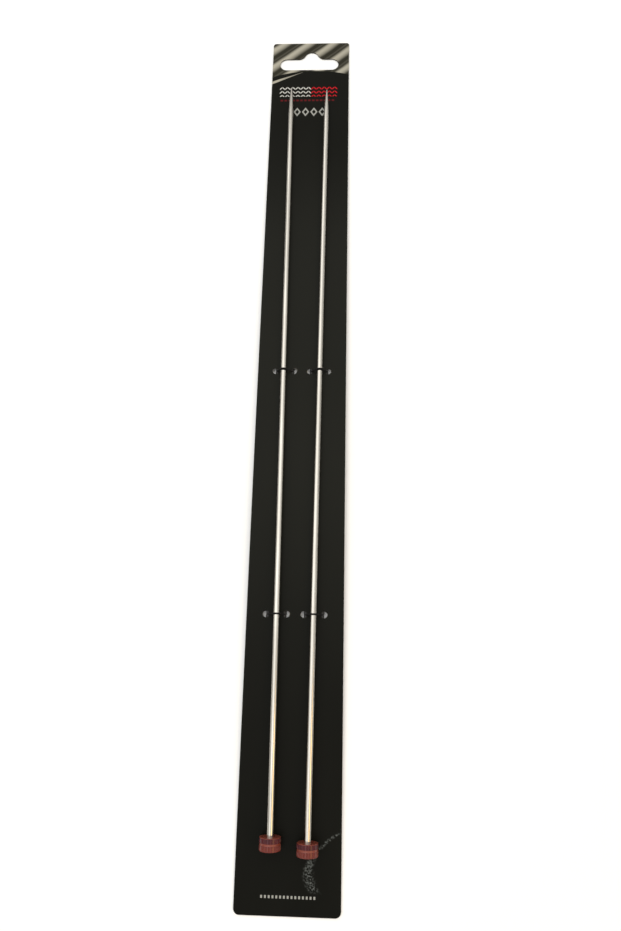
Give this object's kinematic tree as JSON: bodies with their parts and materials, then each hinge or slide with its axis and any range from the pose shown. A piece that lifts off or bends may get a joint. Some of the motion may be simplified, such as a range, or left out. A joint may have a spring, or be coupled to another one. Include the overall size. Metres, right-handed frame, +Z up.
{
  "type": "straight knitting needles",
  "caption": "Pair of straight metal knitting needles with ribbed end caps, held by elastic ties on a long card with a hang slot.",
  "frame": {"origin": "middle of the bottom of the bounding box, on the surface that the barbs of the upper ties stand on, under the middle of the card", "axes": "+Y along the card towards the hang slot and the needles' points, +X to the right seen from the printed front, +Z up out of the front; the card's flat upper part leans half a degree from this frame"},
  "size_m": [0.0452, 0.4604, 0.0106],
  "materials": {
    "card_laminate": "satin",
    "elastic": "matte",
    "barb_plastic": "satin",
    "nickel_tube": "polished",
    "nickel_point": "polished",
    "cap_plastic": "gloss"
  },
  "bodies": {
    "card": {"display_card": "card_laminate", "tie_upper_left": "elastic", "barb_upper_left_outer": "barb_plastic", "barb_upper_left_inner": "barb_plastic", "tie_upper_right": "elastic", "barb_upper_right_outer": "barb_plastic", "barb_upper_right_inner": "barb_plastic", "tie_lower_left": "elastic", "barb_lower_left_outer": "barb_plastic", "barb_lower_left_inner": "barb_plastic", "tie_lower_right": "elastic", "barb_lower_right_outer": "barb_plastic", "barb_lower_right_inner": "barb_plastic"},
    "left_needle": {"left_needle_shaft": "nickel_tube", "left_needle_point": "nickel_point", "left_needle_cap": "cap_plastic"},
    "right_needle": {"right_needle_shaft": "nickel_tube", "right_needle_point": "nickel_point", "right_needle_cap": "cap_plastic"}
  },
  "joints": [
    {"name": "left_needle_slide", "type": "slide", "parent": "card", "child": "left_needle", "axis": [0.008, -0.9999, 0.0087], "range_m": [0, 0.31]},
    {"name": "right_needle_slide", "type": "slide", "parent": "card", "child": "right_needle", "axis": [-0.0043, -1, 0.0087], "range_m": [0, 0.31]}
  ]
}
